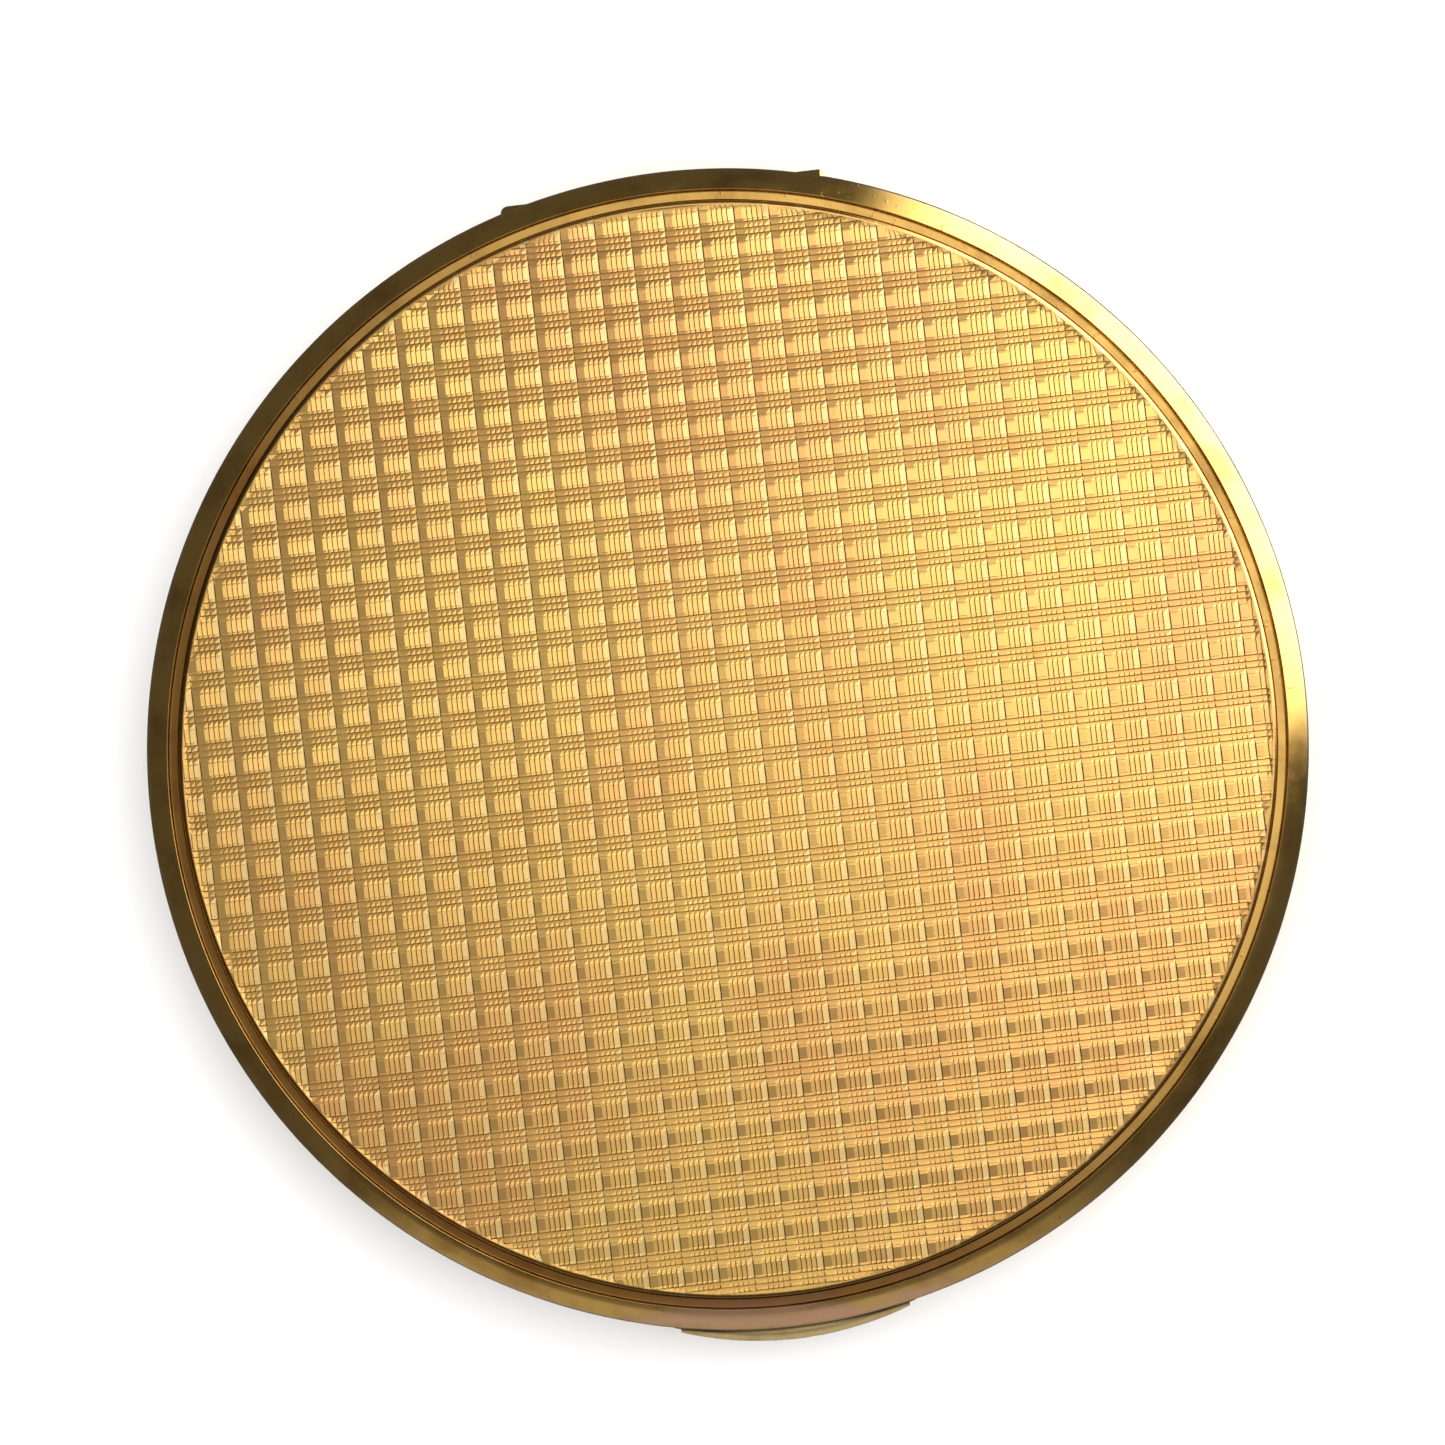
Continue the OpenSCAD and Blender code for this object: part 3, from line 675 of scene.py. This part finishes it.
def press_spring():
    """The spring behind the slide."""
    low, high = lo("return_spring"), hi("return_spring")
    middle = (low + high) / 2
    wire, turns, steps, sides = 0.12 * MM, 5, 28, 10
    radius = (high.x - low.x) / 2 - wire
    length = high.y - low.y
    count = turns * steps + 1
    points, faces = [], []
    for i in range(count):
        a = 2 * math.pi * i / steps
        out = Vector((math.cos(a), 0, math.sin(a)))
        y = low.y + wire + (length - 2 * wire) * i / (count - 1)
        here = Vector((middle.x, y, middle.z)) + out * radius
        for k in range(sides):
            q = 2 * math.pi * k / sides
            points.append(here + out * wire * math.cos(q) + Vector((0, wire * math.sin(q), 0)))
    for i in range(count - 1):
        for k in range(sides):
            n = (k + 1) % sides
            faces.append((i * sides + k, i * sides + n, (i + 1) * sides + n, (i + 1) * sides + k))
    faces.append(list(range(sides)))
    faces.append([(count - 1) * sides + k for k in reversed(range(sides))])
    piece = mesh_object("press_spring", points, faces, "base_body", SLOTS["return_spring"], ["return_spring"])
    smooth(piece, 60, False)
    paint(piece, SLOTS["return_spring"])
    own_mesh(piece)


# ---------------------------------------------------------------- puff and sifter net


def puff_cushion():
    """The velour pad, filled out by a cloth simulation run at twenty times its size."""
    r = hi("puff_pad").x - 0.5 * MM
    low, high = lo("puff_pad").z + 0.25 * MM, hi("puff_pad").z - 0.25 * MM
    half = (high - low) / 2
    outline = rounded([(0, low, 0), (r, low, half * 0.98), (r, high, half * 0.98), (0, high, 0)], 6)
    piece = lathe("puff", outline, "base_body", SLOTS["puff_pad"], ["puff_pad"], 96)
    bm = bmesh.new()
    bm.from_mesh(piece.data)
    bmesh.ops.recalc_face_normals(bm, faces=bm.faces)
    bm.to_mesh(piece.data)
    bm.free()
    scale, frames, swelling = 20, 20, 0.35 * MM
    middle = Vector((0, 0, (low + high) / 2))
    for v in piece.data.vertices:
        v.co = (v.co - middle) * scale
    mod = piece.modifiers.new("remesh", "REMESH")
    mod.mode = "VOXEL"
    mod.voxel_size = 0.9 * MM * scale
    apply_modifiers(piece)
    before = np.array([v.co for v in piece.data.vertices])
    cloth = piece.modifiers.new("cloth", "CLOTH")
    cloth.settings.use_pressure = True
    cloth.settings.uniform_pressure_force = 4
    cloth.settings.effector_weights.gravity = 0
    scene = bpy.context.scene
    for frame_number in range(1, frames + 1):
        scene.frame_set(frame_number)
    apply_modifiers(piece)
    scene.frame_set(1)
    after = np.array([v.co for v in piece.data.vertices])
    move = after - before
    length = np.linalg.norm(move, axis=1, keepdims=True)
    cap = swelling * scale
    move *= np.minimum(1, cap / np.maximum(length, 1e-9))
    for v, p in zip(piece.data.vertices, before + move):
        v.co = Vector(p) / scale + middle
    mod = piece.modifiers.new("soft", "SUBSURF")
    mod.levels = mod.render_levels = 1
    apply_modifiers(piece)
    limit_low, limit_high = lo("puff_pad"), hi("puff_pad")
    for v in piece.data.vertices:
        flat = Vector((v.co.x, v.co.y))
        angle = math.atan2(v.co.y, v.co.x)
        edge = (flat.length / limit_high.x) ** 6
        ruffle = 0.10 * MM * math.sin(37 * angle) + 0.06 * MM * math.sin(61 * angle + 1)
        v.co.z += ruffle * edge
        if flat.length > limit_high.x:
            v.co.x *= limit_high.x / flat.length
            v.co.y *= limit_high.x / flat.length
        v.co.z = min(max(v.co.z, limit_low.z), limit_high.z)
    for face in piece.data.polygons:
        face.use_smooth = True
    paint(piece, SLOTS["puff_pad"])


def polar_sheet(radius, rings, segments, height):
    """A round sheet as a fan of rings, with its height given for each radius and angle."""
    points, faces = [(0, 0, height(0, 0))], []
    for i in range(1, rings + 1):
        r = radius * i / rings
        for k in range(segments):
            a = 2 * math.pi * k / segments
            points.append((r * math.cos(a), r * math.sin(a), height(r, a)))
    for k in range(segments):
        j = (k + 1) % segments
        faces.append((0, 1 + k, 1 + j))
        for i in range(rings - 1):
            inner, outer = 1 + i * segments, 1 + (i + 1) * segments
            faces.append((inner + k, outer + k, outer + j, inner + j))
    return points, faces


def thicken(piece, thickness):
    mod = piece.modifiers.new("thickness", "SOLIDIFY")
    mod.thickness = thickness
    mod.offset = 0
    apply_modifiers(piece)
    for face in piece.data.polygons:
        face.use_smooth = True


def puff_satin():
    """The satin on the back of the puff, gathered a little towards its sewn edge."""
    r = hi("puff_backing").x
    low, high = lo("puff_backing").z, hi("puff_backing").z
    mid = (low + high) / 2

    def height(radius, angle):
        edge = (radius / r) ** 5
        gather = 0.05 * MM * math.sin(44 * angle + 0.6 * math.sin(5 * angle))
        return mid + 0.03 * MM + gather * edge - 0.06 * MM * (radius / r) ** 12

    points, faces = polar_sheet(r, 30, 264, height)
    piece = mesh_object("puff_satin", points, faces, "base_body", SLOTS["puff_backing"], ["puff_backing"])
    thicken(piece, 0.10 * MM)
    paint(piece, SLOTS["puff_backing"])
    puff_seam()


def puff_seam():
    """The overlocked seam that joins satin and velour: a row of slanted stitches."""
    r = hi("puff_backing").x - 0.1 * MM
    z = hi("puff_backing").z - 0.05 * MM
    count, rings, sides, thread = 180, 5, 6, 0.09 * MM
    points, faces = [], []
    for k in range(count):
        a0 = 2 * math.pi * k / count
        for i in range(rings):
            t = i / (rings - 1)
            a = a0 + (t - 0.5) * 0.9 * 2 * math.pi / count
            rr = r + (t - 0.5) * 0.9 * MM
            lift = 0.06 * MM * math.sin(math.pi * t)
            here = Vector((rr * math.cos(a), rr * math.sin(a), z + lift - 0.12 * MM * t))
            out = Vector((-math.sin(a), math.cos(a), 0))
            for s in range(sides):
                q = 2 * math.pi * s / sides
                size = thread * (0.45 if i in (0, rings - 1) else 1)
                points.append(here + out * size * math.cos(q) + Vector((0, 0, size * math.sin(q))))
        base = k * rings * sides
        for i in range(rings - 1):
            for s in range(sides):
                n = (s + 1) % sides
                faces.append((base + i * sides + s, base + i * sides + n,
                              base + (i + 1) * sides + n, base + (i + 1) * sides + s))
        faces.append([base + s for s in range(sides)])
        faces.append([base + (rings - 1) * sides + s for s in reversed(range(sides))])
    piece = mesh_object("puff_seam", points, faces, "base_body", SLOTS["puff_backing"])
    smooth(piece, 80, False)
    paint(piece, SLOTS["puff_backing"])
    return piece


def puff_ribbon_band():
    """The satin ribbon over the puff, arched between its two sewn ends."""
    half, width = hi("puff_ribbon").x, hi("puff_ribbon").y * 2
    low, top = lo("puff_ribbon").z, hi("puff_ribbon").z
    rise = top - low - 0.25 * MM
    along, across = 96, 16
    points, faces = [], []
    for i in range(along + 1):
        t = 2 * i / along - 1
        for k in range(across + 1):
            y = (k / across - 0.5) * width
            ripple = 0.03 * MM * math.sin(9 * t * math.pi) * math.cos(k / across * math.pi)
            z = low + 0.12 * MM + rise * math.cos(math.pi / 2 * t) ** 2 + ripple * (1 - t ** 4)
            edge = abs(k / across - 0.5) * 2
            points.append((half * t, y, z - 0.05 * MM * edge ** 6))
    for i in range(along):
        for k in range(across):
            a = i * (across + 1) + k
            faces.append((a, a + across + 1, a + across + 2, a + 1))
    piece = mesh_object("ribbon", points, faces, "base_body", SLOTS["puff_ribbon"], ["puff_ribbon"])
    thicken(piece, 0.12 * MM)
    paint(piece, SLOTS["puff_ribbon"])


def sifter_net():
    """The fine net stretched across the sifter ring."""
    r = hi("sifter_gauze").x
    low, high = lo("sifter_gauze").z, hi("sifter_gauze").z
    pitch = 0.55 * MM

    def height(radius, angle):
        x, y = radius * math.cos(angle), radius * math.sin(angle)
        weave = math.sin(2 * math.pi * x / pitch) * math.sin(2 * math.pi * y / pitch)
        return (low + high) / 2 + 0.02 * MM * weave

    points, faces = polar_sheet(r, 120, 360, height)
    piece = mesh_object("net", points, faces, "base_body", SLOTS["sifter_gauze"], ["sifter_gauze"])
    thicken(piece, 0.06 * MM)
    paint(piece, SLOTS["sifter_gauze"])


for name, node in frame["nodes"].items():
    paint(node, SLOTS[name])

engine_turned_panel()
lid_rim()
base_pan()
for node, name, bevel in SOFTENED:
    finish_copy(clean_copy(node), node, name, bevel * MM)
hinge_leaf("base_hinge_leaf", "base_leaf")
inner_cover()
press_spring()
puff_cushion()
puff_satin()
puff_ribbon_band()
sifter_net()

# ---------------------------------------------------------------- floor, light and camera


def in_view_axes(right, up):
    """A point or direction on the table, given along the view's right and up."""
    x = right * math.cos(TURN) - up * math.sin(TURN)
    y = right * math.sin(TURN) + up * math.cos(TURN)
    return Vector((x, y))


def floor():
    """A plain pale floor, which doesn't show in reflections."""
    bm = bmesh.new()
    bmesh.ops.create_grid(bm, x_segments=8, y_segments=8, size=2.0)
    mesh = bpy.data.meshes.new("floor")
    bm.to_mesh(mesh)
    bm.free()
    piece = bpy.data.objects.new("floor", mesh)
    bpy.context.scene.collection.objects.link(piece)
    s = Shader("floor", Roughness=0.75)
    tone = s.mix(s.remap(s.noise(6, 3), 0.3, 0.7), (0.86, 0.86, 0.87), (0.83, 0.83, 0.84))
    piece.data.materials.append(s.set(Base_Color=tone))
    piece.visible_glossy = False


STUDIO_WHITE = (1.0, 0.88, 0.72)   # of the room and every soft box; the two lamps are nearly white
ROOM = 0.085                       # brightness between the soft boxes
# soft boxes overhead: right from and to, up from and to, softness, brightness
OVERHEAD = [
    (-0.34, 0.75, -0.38, 0.55, 0.15, 0.40),
    (0.00, 0.62, -0.02, 0.49, 0.12, 1.70),
]
# upright soft boxes: turned from and to in degrees, softness, height from and to, softness, brightness
UPRIGHT = [
    (5, 70, 8, -0.80, 0.84, 0.08, 4.0),
    (-125, -55, 12, -0.85, 0.50, 0.15, 0.40),
]


def studio_white(brightness):
    return tuple(brightness * c for c in STUDIO_WHITE)


def studio():
    """Four plain soft boxes, two overhead, one right and one in front. They show in reflections only."""
    world = bpy.data.worlds.new("studio")
    bpy.context.scene.world = world
    world.use_nodes = True
    world.cycles_visibility.diffuse = False
    n = Nodes(world.node_tree)
    direction = n.node("ShaderNodeTexCoord").outputs["Generated"]

    def along(axis):
        dot = n.node("ShaderNodeVectorMath", {0: direction, 1: axis}, operation="DOT_PRODUCT")
        return dot.outputs["Value"]

    right = along((*in_view_axes(1, 0), 0))
    up = along((*in_view_axes(0, 1), 0))
    height = along((0, 0, 1))
    around = n.math("ARCTAN2", up, right)

    def between(value, low, high, soft):
        over = n.remap(value, low - soft, low + soft)
        under = n.remap(value, high + soft, high - soft)
        return n.math("MULTIPLY", over, under)

    colour = studio_white(ROOM)
    above = n.remap(height, 0.45, 0.9)
    for u0, u1, v0, v1, soft, brightness in OVERHEAD:
        fac = n.math("MULTIPLY", between(right, u0, u1, soft), between(up, v0, v1, soft))
        colour = n.mix(n.math("MULTIPLY", fac, above), colour, studio_white(brightness))
    for a0, a1, soft, h0, h1, edge, brightness in UPRIGHT:
        fac = n.math("MULTIPLY", between(around, math.radians(a0), math.radians(a1), math.radians(soft)),
                     between(height, h0, h1, edge))
        colour = n.mix(fac, colour, studio_white(brightness))
    n.tree.links.new(colour, n.tree.nodes["Background"].inputs["Color"])


def lamp(name, right, up, height, size, power, colour):
    """A round area lamp that points at the origin. It doesn't show in reflections."""
    data = bpy.data.lights.new(name, "AREA")
    data.shape = "DISK"
    data.size = size
    data.energy = power
    data.color = colour
    made = bpy.data.objects.new(name, data)
    flat = in_view_axes(right, up)
    made.location = (flat.x, flat.y, height)
    made.rotation_euler = (-Vector(made.location)).to_track_quat("-Z", "Y").to_euler()
    made.visible_glossy = False
    bpy.context.scene.collection.objects.link(made)


def camera():
    """Straight above the compact. It sees a square `seen` wide at about the rim's height."""
    distance = 0.33
    seen = 99.3 * MM
    sensor = 36
    data = bpy.data.cameras.new("camera")
    data.type = "PERSP"
    data.sensor_width = sensor
    data.lens = sensor * distance / seen
    data.clip_start = 0.01
    data.clip_end = 10
    made = bpy.data.objects.new("camera", data)
    bpy.context.scene.collection.objects.link(made)
    middle = in_view_axes(-0.37 * MM, 1.83 * MM)
    made.location = (middle.x, middle.y, Z_RIM - 1.5 * MM + distance)
    made.rotation_euler = (0, 0, TURN)
    bpy.context.scene.camera = made


floor()
studio()
lamp("key", 0.12, 0.14, 1.0, 1.3, 20.0, (1.0, 0.99, 0.97))
lamp("fill", -0.6, -0.5, 0.7, 0.8, 4.0, (1.0, 0.99, 0.98))
camera()
bpy.context.scene.view_settings.view_transform = "Standard"
